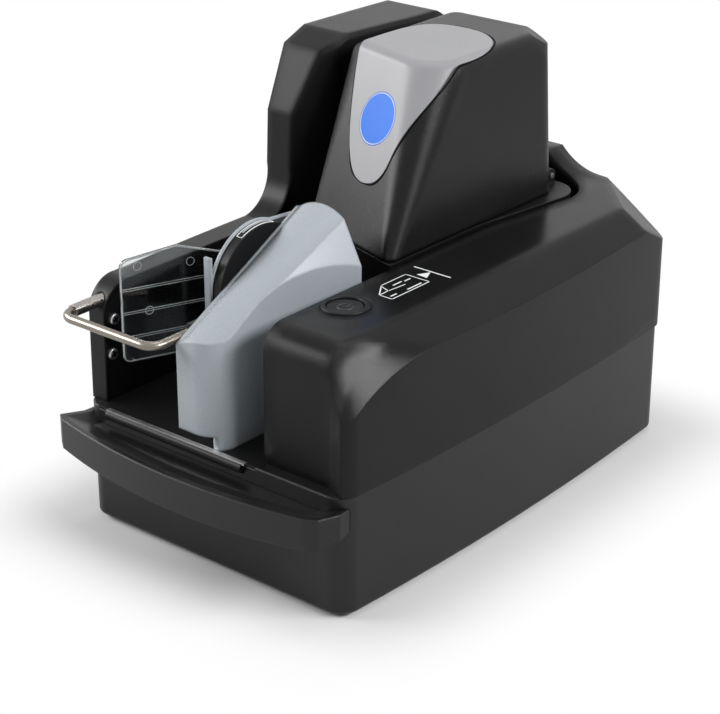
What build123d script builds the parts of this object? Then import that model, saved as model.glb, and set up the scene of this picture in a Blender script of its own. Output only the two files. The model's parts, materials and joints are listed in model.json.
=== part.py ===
from build123d import *
import math
import os

os.makedirs("parts", exist_ok=True)

# A desktop cheque scanner.  Millimetres: +X to the operator's right, +Y to the back, +Z up.
# The origin is on the desk, under the middle of the machine.

# ---------------------------------------------------------------- casing plan
FRONT_HALF_WIDTH = 82.5
MIDDLE_HALF_WIDTH = 86.5
REAR_HALF_WIDTH = 81.0
FRONT_Y = -126.5
REAR_CORNER_Y = 135.0
REAR_MIDDLE_Y = 149.0
PLAN_CORNER_RADIUS = 11.0
OVERHANG = 1.0
WALL = 2.5
FIT = 0.2
RUNNING = 0.05
NIP_GAP = 0.3

# ---------------------------------------------------------------- heights
FOOT_HEIGHT = 2.0
PLATE_THICKNESS = 2.0
PARTING_Z = 62.0
BASE_ROOF = 3.0
DECK_Z = 129.0
TOWER_SEAT_Z = 129.7
INNER_TOP_Z = 214.5
OUTER_TOP_Z = 212.8

# ---------------------------------------------------------------- track and pockets
COVER_WALL_X = 29.4
TRACK_GAP = 3.4
ISLAND_LEFT_X = -41.0
ISLAND_FRONT_LEFT_Y = -5.0
ISLAND_FRONT_RIGHT_Y = -25.0
VEER_Y = 46.0
VEER_SHIFT = 9.0
VEER_END_Y = 108.0
ISLAND_TURN_RADIUS = 16.5
ISLAND_BACK_Y = 124.5
OUTER_TURN_BACK_Y = 135.5
LEFT_TURN_RADIUS = 22.0
FUNNEL_END_Y = 66.0
GUIDE_WALL = 2.5
GUIDE_TOP_Z = 115.0
POCKET_WALL_X = -72.5
COVER_SPLIT_X = -20.0

# ---------------------------------------------------------------- main cover
COVER_FRONT_Y = -119.0
DECK_FRONT_Y = -106.0
DECK_RIDGE_X = 68.0
FACET_FOOT_X = 90.0
FACET_DROP = 13.5
CREASE_BEND_Y = -49.0
CREASE_RADIUS = 118.0
COVER_EDGE_RADIUS = 3.0
SPINE_FLARE_RADIUS = 34.0
SPINE_RISE = 11.0

# ---------------------------------------------------------------- left housing
LEFT_WALL_FRONT_Y = -120.0
LEFT_WALL_TOP_Z = 121.5
OUTER_FRONT_Y = 13.0

# ---------------------------------------------------------------- front lip
LIP_TOP_Z = 56.5
LIP_FRONT_BOTTOM_Z = 39.0
LIP_BACK_BOTTOM_Z = 43.5
LIP_RIM = 3.0
LIP_DISH = 2.8

# ---------------------------------------------------------------- divider
DIVIDER_WALL = 2.2
DIVIDER_LEFT_X = -15.0
DIVIDER_FRONT_Y = -128.8
DIVIDER_BOTTOM_Z = 69.5
DIVIDER_FOOT_Y = -124.4
DIVIDER_REAR_Y = -45.0

# ---------------------------------------------------------------- wire bail
BAIL_RADIUS = 2.25
BAIL_Z = 113.0
BAIL_LEFT_X = -77.5
BAIL_RIGHT_X = -17.6
BAIL_FRONT_Y = -141.0
BAIL_BEND = 7.0
SLEEVE_RADIUS = 3.1
SLEEVE_FRONT_Y = -134.0
SLEEVE_BACK_Y = -104.0

# ---------------------------------------------------------------- clear flag
FLAG_ANGLE = 22.9
FLAG_THICKNESS = 1.6
FLAG_HINGE_X = -30.0
FLAG_HINGE_Y = -76.0
FLAG_LENGTH = 55.5
FLAG_BOTTOM_Z = 91.2
FLAG_PIN_RADIUS = 1.25
KNUCKLE_RADIUS = 2.6

# ---------------------------------------------------------------- power button
BUTTON_X = 41.5
BUTTON_Y = -76.0
BUTTON_RADIUS = 8.7
BEZEL_RADIUS = 11.5
BEZEL_RISE = 0.8
BUTTON_TRAVEL = 0.8

# ---------------------------------------------------------------- rollers and drive
DRIVE_RADIUS = 10.0
PINCH_RADIUS = 6.0
PINCH_CORE_RADIUS = 2.6
SHAFT_RADIUS = 2.5
PIN_RADIUS = 1.5
DRIVE_STICK_OUT = 2.7
FEED_Y = -10.0
CARRY_Y = 88.0
RETURN_Y = 100.0
EXIT_Y = 74.0
PULLEY_RADIUS = 8.0
FLANGE_RADIUS = 9.5
PULLEY_LOW_Z = 46.0
PULLEY_WIDTH = 7.0
BELT_THICKNESS = 1.4
MOTOR_X = -22.0
MOTOR_Y = 8.0
MOTOR_RADIUS = 18.0
MOTOR_HEIGHT = 26.0
DRIVE_PLATE_Z = 40.0
DRIVE_PLATE_THICKNESS = 2.0
POST_RADIUS = 4.0
TYRE_WIDTH = 9.0
TYRE_LEVELS = (71.0, 98.0)

# ---------------------------------------------------------------- tower hinge
HINGE_Y = 119.5
HINGE_Z = 133.5
HINGE_LUG = 3.6
TOWER_TOP_RADIUS = 6.0

BASE_TOP_INSIDE = PARTING_Z - BASE_ROOF
BASE_BOTTOM_Z = FOOT_HEIGHT
FLOOR_Z = BASE_BOTTOM_Z + PLATE_THICKNESS


# ---------------------------------------------------------------- helpers
def outline(*edges):
    """A flat face bounded by the given edges, drawn in order."""
    return make_face(Curve() + list(edges))


def polygon(*points):
    return make_face(Polyline(*points, close=True))


def rise(face, low, high):
    """Extrudes a plan face upwards between two heights."""
    return extrude(Pos(0, 0, low) * face, high - low, dir=(0, 0, 1))


def across(face, low, high):
    """Extrudes a side-view face, drawn in (y, z), between two X positions."""
    return extrude(Plane.YZ.offset(low) * face, high - low, dir=(1, 0, 0))


def along(face, low, high):
    """Extrudes a front-view face, drawn in (x, z), between two Y positions."""
    return extrude(Plane.XZ.offset(-low) * face, high - low, dir=(0, 1, 0))


def block(x0, x1, y0, y1, z0, z1):
    return Pos((x0 + x1) / 2, (y0 + y1) / 2, (z0 + z1) / 2) * Box(x1 - x0, y1 - y0, z1 - z0)


def post(x, y, radius, low, high):
    return Pos(x, y, (low + high) / 2) * Cylinder(radius, high - low)


def tube(x, y, outer, inner, low, high):
    return post(x, y, outer, low, high) - post(x, y, inner, low, high)


def grown(face, amount):
    return offset(face, amount, kind=Kind.INTERSECTION)


def save(name, shape):
    export_step(shape, "parts/" + name + ".step")


# ---------------------------------------------------------------- plan outlines
def body_plan(inset=0.0):
    """Straight front, bowed sides and a bowed back, with round corners."""
    right = (FRONT_HALF_WIDTH - inset, FRONT_Y + inset)
    left = (-FRONT_HALF_WIDTH + inset, FRONT_Y + inset)
    right_back = (REAR_HALF_WIDTH - inset, REAR_CORNER_Y - inset)
    left_back = (-REAR_HALF_WIDTH + inset, REAR_CORNER_Y - inset)
    face = outline(
        Line(left, right),
        ThreePointArc(right, (MIDDLE_HALF_WIDTH - inset, -4), right_back),
        ThreePointArc(right_back, (0, REAR_MIDDLE_Y - inset), left_back),
        ThreePointArc(left_back, (-MIDDLE_HALF_WIDTH + inset, -4), left),
    )
    return fillet(face.vertices(), PLAN_CORNER_RADIUS - inset)


def island_right_x(y):
    """The island's right side: straight, then veering to the right behind VEER_Y."""
    share = max(0.0, y - VEER_Y) / (VEER_END_Y - VEER_Y)
    return COVER_WALL_X - TRACK_GAP + VEER_SHIFT * share


def island_plan():
    right_x = COVER_WALL_X - TRACK_GAP
    turn_x = right_x + VEER_SHIFT - ISLAND_TURN_RADIUS
    turn_y = ISLAND_BACK_Y - ISLAND_TURN_RADIUS
    half = ISLAND_TURN_RADIUS * math.sqrt(0.5)
    left_turn_x = ISLAND_LEFT_X + LEFT_TURN_RADIUS - TRACK_GAP
    left_turn_y = ISLAND_BACK_Y - LEFT_TURN_RADIUS + TRACK_GAP
    left_half = (LEFT_TURN_RADIUS - TRACK_GAP) * math.sqrt(0.5)
    front_right = (right_x, ISLAND_FRONT_RIGHT_Y)
    veer = (right_x, VEER_Y)
    veer_end = (right_x + VEER_SHIFT, turn_y)
    back_right = (turn_x, ISLAND_BACK_Y)
    back_left = (left_turn_x, ISLAND_BACK_Y)
    left_back = (ISLAND_LEFT_X, left_turn_y)
    left_front = (ISLAND_LEFT_X, ISLAND_FRONT_LEFT_Y)
    return outline(
        Line(left_front, front_right),
        Line(front_right, veer),
        Line(veer, veer_end),
        ThreePointArc(veer_end, (turn_x + half, turn_y + half), back_right),
        Line(back_right, back_left),
        ThreePointArc(back_left, (left_turn_x - left_half, left_turn_y + left_half), left_back),
        Line(left_back, left_front),
    )


def outer_boundary(shift=0.0):
    """Plan of everything inside the track's outer wall, as far as the cover split."""
    wall_x = COVER_WALL_X + shift
    turn_x = 10.7
    turn_y = VEER_END_Y - 0.6
    radius = COVER_WALL_X + VEER_SHIFT - turn_x + shift
    back_y = turn_y + radius
    half = radius * math.sqrt(0.5)
    left_x = ISLAND_LEFT_X - TRACK_GAP - shift
    left_radius = LEFT_TURN_RADIUS + shift
    left_turn_x = left_x + left_radius
    left_turn_y = back_y - left_radius
    left_half = left_radius * math.sqrt(0.5)
    return outline(
        Line((wall_x, ISLAND_FRONT_RIGHT_Y - 6), (wall_x, VEER_Y)),
        Line((wall_x, VEER_Y), (turn_x + radius, turn_y)),
        ThreePointArc((turn_x + radius, turn_y), (turn_x + half, turn_y + half), (turn_x, back_y)),
        Line((turn_x, back_y), (left_turn_x, back_y)),
        ThreePointArc(
            (left_turn_x, back_y),
            (left_turn_x - left_half, left_turn_y + left_half),
            (left_x, left_turn_y),
        ),
        Line((left_x, left_turn_y), (left_x, FUNNEL_END_Y)),
        Line((left_x, FUNNEL_END_Y), (left_x, ISLAND_FRONT_RIGHT_Y - 6)),
        Line((left_x, ISLAND_FRONT_RIGHT_Y - 6), (wall_x, ISLAND_FRONT_RIGHT_Y - 6)),
    )


# ---------------------------------------------------------------- base
BOSSES = [(-66, -104), (66, -104), (-64, 112), (64, 112)]
PLATE_POSTS = [(-52, -22), (34, -22), (44, 106), (-54, 106)]
VENT_COUNT = 7
VENT_PITCH = 7.0


def base_casing():
    outer = rise(body_plan(OVERHANG), BASE_BOTTOM_Z, PARTING_Z)
    outer = fillet(outer.faces().sort_by(Axis.Z)[0].edges(), 2.0)
    inner = rise(body_plan(OVERHANG + WALL), BASE_BOTTOM_Z - 1, BASE_TOP_INSIDE)
    casing = outer - inner
    for x, y in BOSSES:
        casing += post(x, y, POST_RADIUS, FLOOR_Z, BASE_TOP_INSIDE)
        casing -= post(x, y, PIN_RADIUS + RUNNING, FLOOR_Z, FLOOR_Z + 12)
    for x, y in PLATE_POSTS:
        casing += post(x, y, POST_RADIUS, DRIVE_PLATE_Z + DRIVE_PLATE_THICKNESS, BASE_TOP_INSIDE)
    casing -= rise(floor_plan(), PARTING_Z - 1, PARTING_Z + 1)
    for x, y in SHAFT_PLACES:
        casing -= post(x, y, SHAFT_RADIUS + RUNNING, BASE_TOP_INSIDE - 1, PARTING_Z + 1)
    for x, y in PINCH_PLACES:
        casing -= post(x, y, PIN_RADIUS, BASE_TOP_INSIDE, PARTING_Z + 1)
    casing -= inlet_body(FIT) + usb_body(FIT)
    for i in range(VENT_COUNT):
        x = (i - (VENT_COUNT - 1) / 2) * VENT_PITCH - 30
        casing -= block(x - 1.2, x + 1.2, REAR_CORNER_Y, REAR_MIDDLE_Y + 2, 28, 46)
    return casing


def floor_plan():
    return polygon(
        (POCKET_WALL_X, FRONT_Y - 1),
        (COVER_WALL_X, FRONT_Y - 1),
        (COVER_WALL_X, ISLAND_FRONT_RIGHT_Y),
        (COVER_WALL_X - TRACK_GAP, ISLAND_FRONT_RIGHT_Y),
        (ISLAND_LEFT_X, ISLAND_FRONT_LEFT_Y),
        (ISLAND_LEFT_X, OUTER_FRONT_Y),
        (POCKET_WALL_X, OUTER_FRONT_Y),
    )


HEM_LEFT_X = -66.0
HEM_RIGHT_X = 22.0
HEM_RADIUS = 2.6
STRIP_RIGHT_X = 23.6


def floor_plate():
    """The pocket and hopper floor, rolled over the front edge in a half-round hem."""
    plate = rise(floor_plan(), PARTING_Z - 1, PARTING_Z)
    plate -= block(-FRONT_HALF_WIDTH, FRONT_HALF_WIDTH, FRONT_Y - 5, FRONT_Y + OVERHANG, 0, PARTING_Z + 1)
    hem = along_x_rod(HEM_LEFT_X, HEM_RIGHT_X, FRONT_Y + OVERHANG, PARTING_Z - HEM_RADIUS, HEM_RADIUS)
    hem -= block(HEM_LEFT_X, HEM_RIGHT_X, FRONT_Y + OVERHANG, FRONT_Y + 10, 0, PARTING_Z + 1)
    return plate + hem - wear_strip_space()


def along_x_rod(x0, x1, y, z, radius):
    return Pos((x0 + x1) / 2, y, z) * Rot(0, 90, 0) * Cylinder(radius, x1 - x0)


def wear_strip_space():
    return block(HEM_LEFT_X, STRIP_RIGHT_X, FRONT_Y + OVERHANG - 1.2, FRONT_Y + OVERHANG + 1.0,
                 PARTING_Z - 0.6, PARTING_Z + 1)


def wear_strip():
    return block(HEM_LEFT_X, STRIP_RIGHT_X, FRONT_Y + OVERHANG - 1.2, FRONT_Y + OVERHANG + 1.0,
                 PARTING_Z - 0.6, PARTING_Z + 0.5)


def bottom_plate():
    plate = rise(body_plan(OVERHANG + WALL + FIT), BASE_BOTTOM_Z, FLOOR_Z)
    for x, y in BOSSES:
        plate -= post(x, y, PIN_RADIUS + FIT, BASE_BOTTOM_Z - 1, FLOOR_Z + 1)
        plate -= post(x, y, 3.0 + FIT, BASE_BOTTOM_Z - 1, BASE_BOTTOM_Z + 1)
    for row in (-1, 1):
        for i in range(9):
            x = (i - 4) * 9.0
            y = 30 + row * 12
            plate -= block(x - 1.5, x + 1.5, y - 8, y + 8, 0, FLOOR_Z + 1)
    return plate


def bottom_screws():
    screws = []
    for x, y in BOSSES:
        screw = post(x, y, 3.0, BASE_BOTTOM_Z + 0.2, BASE_BOTTOM_Z + 1)
        screws.append(screw + post(x, y, PIN_RADIUS, BASE_BOTTOM_Z + 0.5, FLOOR_Z + 10))
    return Compound(children=screws)


def rubber_feet():
    places = [(-62, -84), (62, -84), (-60, 92), (60, 92)]
    return Compound(children=[post(x, y, 8.0, 0, FOOT_HEIGHT) for x, y in places])


# ---------------------------------------------------------------- front lip
def lip_plan(back_y):
    left_tip = (-88.7, -136.2)
    left_end = (-84.0, -139.6)
    right_end = (72.5, -141.0)
    right_tip = (77.5, -137.6)
    return outline(
        Line((-82.0, back_y), (-82.6, -125.6)),
        Line((-82.6, -125.6), left_tip),
        Line(left_tip, left_end),
        ThreePointArc(left_end, (-5, -149.5), right_end),
        Line(right_end, right_tip),
        Line(right_tip, (81.6, -127.5)),
        Line((81.6, -127.5), (81.0, back_y)),
        Line((81.0, back_y), (-82.0, back_y)),
    )


def front_lip():
    lip = rise(lip_plan(-116), LIP_FRONT_BOTTOM_Z, LIP_TOP_Z)
    slope = (LIP_BACK_BOTTOM_Z - LIP_FRONT_BOTTOM_Z) / (FRONT_Y + 149.5)
    lip -= across(
        polygon((-149.5, LIP_FRONT_BOTTOM_Z), (-100, LIP_FRONT_BOTTOM_Z),
                (-100, LIP_FRONT_BOTTOM_Z + slope * 49.5)),
        -100, 100,
    )
    dish_low = Pos(0, 0, LIP_TOP_Z - LIP_DISH) * offset(lip_plan(-90), -LIP_RIM - 9)
    dish_high = Pos(0, 0, LIP_TOP_Z + 0.01) * offset(lip_plan(-90), -LIP_RIM)
    lip -= loft([dish_low, dish_high], ruled=True)
    return lip - rise(body_plan(OVERHANG), 0, PARTING_Z + 1)


# ---------------------------------------------------------------- main cover
def deck_profile(drop, floor_z):
    """Side view of the deck: level top, round front shoulder, upright front."""
    top_z = DECK_Z - drop
    return outline(
        Line((COVER_FRONT_Y, floor_z), (155, floor_z)),
        Line((155, floor_z), (155, top_z)),
        Line((155, top_z), (DECK_FRONT_Y, top_z)),
        ThreePointArc((DECK_FRONT_Y, top_z), (-114.6, 125.2 - drop), (COVER_FRONT_Y + 0.5, 115 - drop)),
        Line((COVER_FRONT_Y + 0.5, 115 - drop), (COVER_FRONT_Y, floor_z)),
    )


def crease_profile(floor_z):
    """Side view at the foot of the facet: the crease bends down towards the front."""
    top_z = DECK_Z - FACET_DROP
    front_y = FRONT_Y - 3.0
    reach = CREASE_BEND_Y - front_y
    front_z = top_z - CREASE_RADIUS + math.sqrt(CREASE_RADIUS ** 2 - reach ** 2)
    middle_y = CREASE_BEND_Y - reach / 2
    middle_z = top_z - CREASE_RADIUS + math.sqrt(CREASE_RADIUS ** 2 - (reach / 2) ** 2)
    return outline(
        Line((front_y, floor_z), (155, floor_z)),
        Line((155, floor_z), (155, top_z)),
        Line((155, top_z), (CREASE_BEND_Y, top_z)),
        ThreePointArc((CREASE_BEND_Y, top_z), (middle_y, middle_z), (front_y, front_z)),
        Line((front_y, front_z), (front_y, floor_z)),
    )


def facet_cut(depth):
    """Everything beyond the sloping facet at the cover's rear right corner."""
    plane = Plane(origin=(65, 115, DECK_Z), x_dir=(-30, 32, 0), z_dir=normal_of(
        (65, 115, DECK_Z), (35, 147, DECK_Z), (81, 129, 111)))
    return plane * (Pos(0, 0, 40 - depth) * Box(300, 300, 80))


def normal_of(a, b, c):
    normal = (Vector(*b) - Vector(*a)).cross(Vector(*c) - Vector(*a)).normalized()
    return normal if normal.Z > 0 else normal * -1


def deck_solid(depth):
    """The cover's outer form, or with a depth the hollow inside it."""
    floor_z = PARTING_Z - 3 * depth
    flat = Plane.YZ.offset(COVER_SPLIT_X - 5) * offset_if(deck_profile(0, floor_z), depth)
    ridge = Plane.YZ.offset(DECK_RIDGE_X) * offset_if(deck_profile(0, floor_z), depth)
    foot = Plane.YZ.offset(FACET_FOOT_X) * offset_if(crease_profile(floor_z), depth)
    solid = loft([flat, ridge], ruled=True) + loft([ridge, foot], ruled=True)
    solid = solid & rise(body_plan(depth), floor_z - 1, DECK_Z + 20)
    return solid - facet_cut(depth)


def offset_if(face, amount):
    return offset(face, -amount, kind=Kind.INTERSECTION) if amount else face


def spine_solid(depth):
    """The raised spine behind the track, flaring up towards the outer tower."""
    flare_x = COVER_WALL_X
    top_z = DECK_Z + SPINE_RISE - depth
    run = math.sqrt(SPINE_FLARE_RADIUS ** 2 - (SPINE_FLARE_RADIUS - SPINE_RISE) ** 2)
    middle_x = flare_x - run / 2
    middle_z = DECK_Z + SPINE_FLARE_RADIUS - math.sqrt(SPINE_FLARE_RADIUS ** 2 - (run / 2) ** 2)
    face = outline(
        Line((COVER_SPLIT_X, DECK_Z - 20), (flare_x, DECK_Z - 20)),
        Line((flare_x, DECK_Z - 20), (flare_x, DECK_Z - depth)),
        ThreePointArc((flare_x, DECK_Z - depth), (middle_x, middle_z - depth), (flare_x - run, top_z)),
        Line((flare_x - run, top_z), (COVER_SPLIT_X, top_z)),
        Line((COVER_SPLIT_X, top_z), (COVER_SPLIT_X, DECK_Z - 20)),
    )
    return along(face, 100, 155) & rise(body_plan(depth), DECK_Z - 20, DECK_Z + 30)


def left_of_cover(shift):
    """Plan of all that lies to the left of the main cover's track wall."""
    front = polygon(
        (-130, -160), (COVER_WALL_X + shift, -160), (COVER_WALL_X + shift, 0), (-130, 0))
    side = polygon((-130, -1), (COVER_SPLIT_X + shift, -1), (COVER_SPLIT_X + shift, 170), (-130, 170))
    return front + side + outer_boundary(shift)


def main_cover():
    outer = deck_solid(0) + spine_solid(0) - rise(left_of_cover(0), 0, 300)
    inner = deck_solid(WALL) - rise(left_of_cover(WALL), 0, 300)
    shell = outer - inner - rise(guide_plan(FIT), PARTING_Z - 1, GUIDE_TOP_Z + FIT)
    shell += tube(BUTTON_X, BUTTON_Y, BEZEL_RADIUS + 1.5, BEZEL_RADIUS, 110, DECK_Z - WALL / 2)
    shell -= post(BUTTON_X, BUTTON_Y, BEZEL_RADIUS, 110, DECK_Z + 5)
    shell -= block(COVER_WALL_X - 1, COVER_WALL_X + WALL + 1, PUSHER_TIP_Y - 1.5, PUSHER_PIN_Y + 5.5,
                   PUSHER_LOW_Z - 1, PUSHER_HIGH_Z + 1)
    return shell


# ---------------------------------------------------------------- power button
def button_bezel():
    ring = tube(BUTTON_X, BUTTON_Y, BEZEL_RADIUS, BUTTON_RADIUS + 0.35, DECK_Z - 4, DECK_Z + BEZEL_RISE)
    top = ring.faces().sort_by(Axis.Z)[-1]
    ring = fillet(top.edges(), 0.7)
    return ring


def button_board():
    board = post(BUTTON_X, BUTTON_Y, BEZEL_RADIUS - RUNNING, 110, 111.6)
    switch = block(BUTTON_X - 3, BUTTON_X + 3, BUTTON_Y - 3, BUTTON_Y + 3, 111.6, 115.0)
    return board + switch + post(BUTTON_X, BUTTON_Y, 1.6, 115.0, 116.0)


def power_button():
    cap = post(BUTTON_X, BUTTON_Y, BUTTON_RADIUS, DECK_Z - 5, DECK_Z - 0.2)
    dish = Pos(BUTTON_X, BUTTON_Y, DECK_Z - 0.2 + 60 - 0.5) * Sphere(60)
    stem = post(BUTTON_X, BUTTON_Y, 2.0, 116.0 + BUTTON_TRAVEL + 0.2, DECK_Z - 5)
    return cap - dish + stem


# ---------------------------------------------------------------- hopper pusher
PUSHER_PIN_Y = -46.0
PUSHER_PIN_X = COVER_WALL_X + WALL + 3.5
PUSHER_TIP_Y = -102.0
PUSHER_LOW_Z = 68.0
PUSHER_HIGH_Z = 106.0
PUSHER_THICKNESS = 2.0


def hopper_pusher():
    """The swinging plate that presses the stack against the divider."""
    x = COVER_WALL_X + 0.3
    plate = block(x, x + PUSHER_THICKNESS, PUSHER_TIP_Y, PUSHER_PIN_Y, PUSHER_LOW_Z, PUSHER_HIGH_Z)
    arm = block(x, PUSHER_PIN_X, PUSHER_PIN_Y - 2, PUSHER_PIN_Y, PUSHER_LOW_Z, PUSHER_HIGH_Z)
    knuckle = post(PUSHER_PIN_X, PUSHER_PIN_Y, 3.0, PUSHER_LOW_Z, PUSHER_HIGH_Z)
    pusher = plate + arm + knuckle
    for i in range(3):
        z = PUSHER_LOW_Z + 9 + 10 * i
        pusher += block(x + PUSHER_THICKNESS, x + PUSHER_THICKNESS + 1.2, PUSHER_TIP_Y + 4,
                        PUSHER_PIN_Y - 2, z - 0.8, z + 0.8)
    return pusher - post(PUSHER_PIN_X, PUSHER_PIN_Y, PIN_RADIUS + RUNNING, 60, 120)


def pusher_pin():
    return post(PUSHER_PIN_X, PUSHER_PIN_Y, PIN_RADIUS, PARTING_Z, PUSHER_HIGH_Z + 4)


# ---------------------------------------------------------------- track guide
def guide_plan(clearance=0.0):
    strip = outer_boundary(GUIDE_WALL + clearance) - outer_boundary(0)
    return strip - polygon((-100, -200), (200, -200), (200, ISLAND_FRONT_RIGHT_Y + 4),
                           (-30, ISLAND_FRONT_RIGHT_Y + 4), (-30, FUNNEL_END_Y), (-100, FUNNEL_END_Y))


def outer_guide():
    """The track's outer wall, a thin strip that follows both turns."""
    guide = rise(guide_plan(), PARTING_Z, GUIDE_TOP_Z)
    for x, y in PINCH_PLACES:
        for z in TYRE_LEVELS:
            guide -= post(x, y, PINCH_RADIUS + 0.8, z - 1, z + TYRE_WIDTH + 1)
    return guide - outer_camera_space(FIT)


# ---------------------------------------------------------------- left housing
def left_side_profile(depth):
    face = outline(
        Line((LEFT_WALL_FRONT_Y, 50), (LEFT_WALL_FRONT_Y + 0.8, 104)),
        ThreePointArc((LEFT_WALL_FRONT_Y + 0.8, 104), (-114.5, 116.5), (-100, LEFT_WALL_TOP_Z)),
        Line((-100, LEFT_WALL_TOP_Z), (-4, LEFT_WALL_TOP_Z)),
        ThreePointArc((-4, LEFT_WALL_TOP_Z), (8.2, 128.5), (OUTER_FRONT_Y, 146)),
        Line((OUTER_FRONT_Y, 146), (14.3, 174.3)),
        Line((14.3, 174.3), (27.3, 206.4)),
        Line((27.3, 206.4), (42.5, OUTER_TOP_Z)),
        Line((42.5, OUTER_TOP_Z), (107, OUTER_TOP_Z)),
        ThreePointArc((107, OUTER_TOP_Z), (127, 195), (136, 160)),
        ThreePointArc((136, 160), (140, 147), (150, DECK_Z + 7)),
        Line((150, DECK_Z + 7), (150, 50)),
        Line((150, 50), (LEFT_WALL_FRONT_Y, 50)),
    )
    return offset_if(face, depth)


def tower_plan(high, depth):
    """Plan of the outer tower; its slot side leans away from the inner tower."""
    edge = (-57, 36) if high else (-59, 31)
    slot_front = (-50, 96) if high else (ISLAND_LEFT_X - TRACK_GAP, FUNNEL_END_Y)
    slot_back_x = -50 if high else ISLAND_LEFT_X - TRACK_GAP
    face = polygon((-100, -20), (-71, -20), (-71, OUTER_FRONT_Y), edge, slot_front,
                   (slot_back_x, 160), (-100, 160))
    return offset_if(face, depth)


def left_housing_form(depth):
    low = tower_plan(False, depth)
    high = tower_plan(True, depth)
    tower = rise(low, 50, DECK_Z) + loft([Pos(0, 0, DECK_Z) * low, Pos(0, 0, 216) * high], ruled=True)
    wall = block(-100, POCKET_WALL_X - depth, -150, OUTER_FRONT_Y + 10, 50, 216)
    form = (tower + wall) & across(left_side_profile(depth), -100, 0)
    return form & rise(body_plan(depth), 50, 216)


def rear_wall_form(depth):
    region = body_plan(depth) - outer_boundary(depth)
    region = region & polygon((-60, 118), (COVER_SPLIT_X - depth, 118), (COVER_SPLIT_X - depth, 160), (-60, 160))
    return rise(region, 50, DECK_Z + SPINE_RISE - depth)


def left_housing():
    """One moulding: the pocket's outer wall, the outer tower and the left rear wall."""
    turn = rise(outer_boundary(0), 0, DECK_Z + SPINE_RISE + 20)
    form = left_housing_form(0) + rear_wall_form(0) - turn
    hollow = left_housing_form(WALL) & block(-100, 0, OUTER_FRONT_Y - 8, 160, 0, 216)
    hollow = hollow - rise(outer_boundary(WALL), 0, DECK_Z + SPINE_RISE)
    housing = form - hollow - block(-100, 0, -200, 200, 0, PARTING_Z)
    housing -= rise(guide_plan(FIT), PARTING_Z - 1, GUIDE_TOP_Z + FIT)
    housing -= along_y_rod(BAIL_LEFT_X, BAIL_Z, SLEEVE_RADIUS, LEFT_WALL_FRONT_Y - 5, SLEEVE_BACK_Y)
    for y, z in WALL_SCREW_PLACES:
        housing -= Pos(POCKET_WALL_X, y, z) * Rot(0, 90, 0) * Cylinder(1.5, 12)
    return housing


def along_y_rod(x, z, radius, y0, y1):
    return Pos(x, (y0 + y1) / 2, z) * Rot(90, 0, 0) * Cylinder(radius, y1 - y0)


WALL_SCREW_PLACES = [(-113.0, 103.5), (-115.0, 86.0)]


def wall_screws():
    screws = []
    for y, z in WALL_SCREW_PLACES:
        head = Pos(POCKET_WALL_X + 0.9, y, z) * Rot(0, 90, 0) * Cylinder(2.9, 1.8)
        shank = Pos(POCKET_WALL_X - 2.75, y, z) * Rot(0, 90, 0) * Cylinder(1.45, 5.5)
        screws.append(fillet(head.faces().sort_by(Axis.X)[-1].edges(), 0.8) + shank)
    return Compound(children=screws)


def bail_sleeve():
    sleeve = along_y_rod(BAIL_LEFT_X, BAIL_Z, SLEEVE_RADIUS - RUNNING, SLEEVE_FRONT_Y, SLEEVE_BACK_Y)
    return sleeve - along_y_rod(BAIL_LEFT_X, BAIL_Z, BAIL_RADIUS + RUNNING, SLEEVE_FRONT_Y - 1, SLEEVE_BACK_Y + 1)


def wire_bail():
    left_end = (BAIL_LEFT_X, SLEEVE_BACK_Y - 0.5, BAIL_Z)
    right_end = (BAIL_RIGHT_X, BAIL_GUIDE_BACK_Y - 0.5, BAIL_Z)
    path = FilletPolyline(left_end, (BAIL_LEFT_X, BAIL_FRONT_Y, BAIL_Z),
                          (BAIL_RIGHT_X, BAIL_FRONT_Y, BAIL_Z), right_end, radius=BAIL_BEND)
    start = Plane(origin=left_end, z_dir=(0, -1, 0))
    return sweep(start * Circle(BAIL_RADIUS), path=path)


BAIL_GUIDE_FRONT_Y = -116.0
BAIL_GUIDE_BACK_Y = -98.0


def bail_guide():
    guide = block(EXIT_LEFT_X, EXIT_RIGHT_X + 2.5, BAIL_GUIDE_FRONT_Y, BAIL_GUIDE_BACK_Y,
                  BAIL_Z - 4, BAIL_Z + 3.4)
    return guide - along_y_rod(BAIL_RIGHT_X, BAIL_Z, BAIL_RADIUS + RUNNING, -130, -80)


# ---------------------------------------------------------------- exit guide, flange and flag
EXIT_LEFT_X = -20.5
EXIT_RIGHT_X = -15.3
EXIT_FRONT_Y = -98.0


def exit_profile(front_y, drop):
    return outline(
        Line((front_y, PARTING_Z), (front_y, 128)),
        ThreePointArc((front_y, 128), (-88, 145.5 - drop), (-57, 150 - drop)),
        Line((-57, 150 - drop), (-34, 148 - drop)),
        Line((-34, 148 - drop), (-14, PARTING_Z)),
        Line((-14, PARTING_Z), (front_y, PARTING_Z)),
    )


def exit_guide():
    """The black wall that turns the documents into the pocket, under the divider."""
    guide = across(exit_profile(EXIT_FRONT_Y, 0), EXIT_LEFT_X, EXIT_RIGHT_X)
    guide -= rise(island_plan(), 0, 200)
    bracket = block(FLAG_HINGE_X - 3, EXIT_LEFT_X, FLAG_HINGE_Y - 3, FLAG_HINGE_Y + 3, 84, 88)
    bracket += post(FLAG_HINGE_X, FLAG_HINGE_Y, 3.6, 84, 88)
    top = block(FLAG_HINGE_X, EXIT_LEFT_X, FLAG_HINGE_Y - 2, FLAG_HINGE_Y + 2, 124, 127)
    top += post(FLAG_HINGE_X, FLAG_HINGE_Y, KNUCKLE_RADIUS, 124, 127)
    pin_hole = post(FLAG_HINGE_X, FLAG_HINGE_Y, FLAG_PIN_RADIUS, 80, 130)
    return guide + bracket + top - pin_hole


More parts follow.
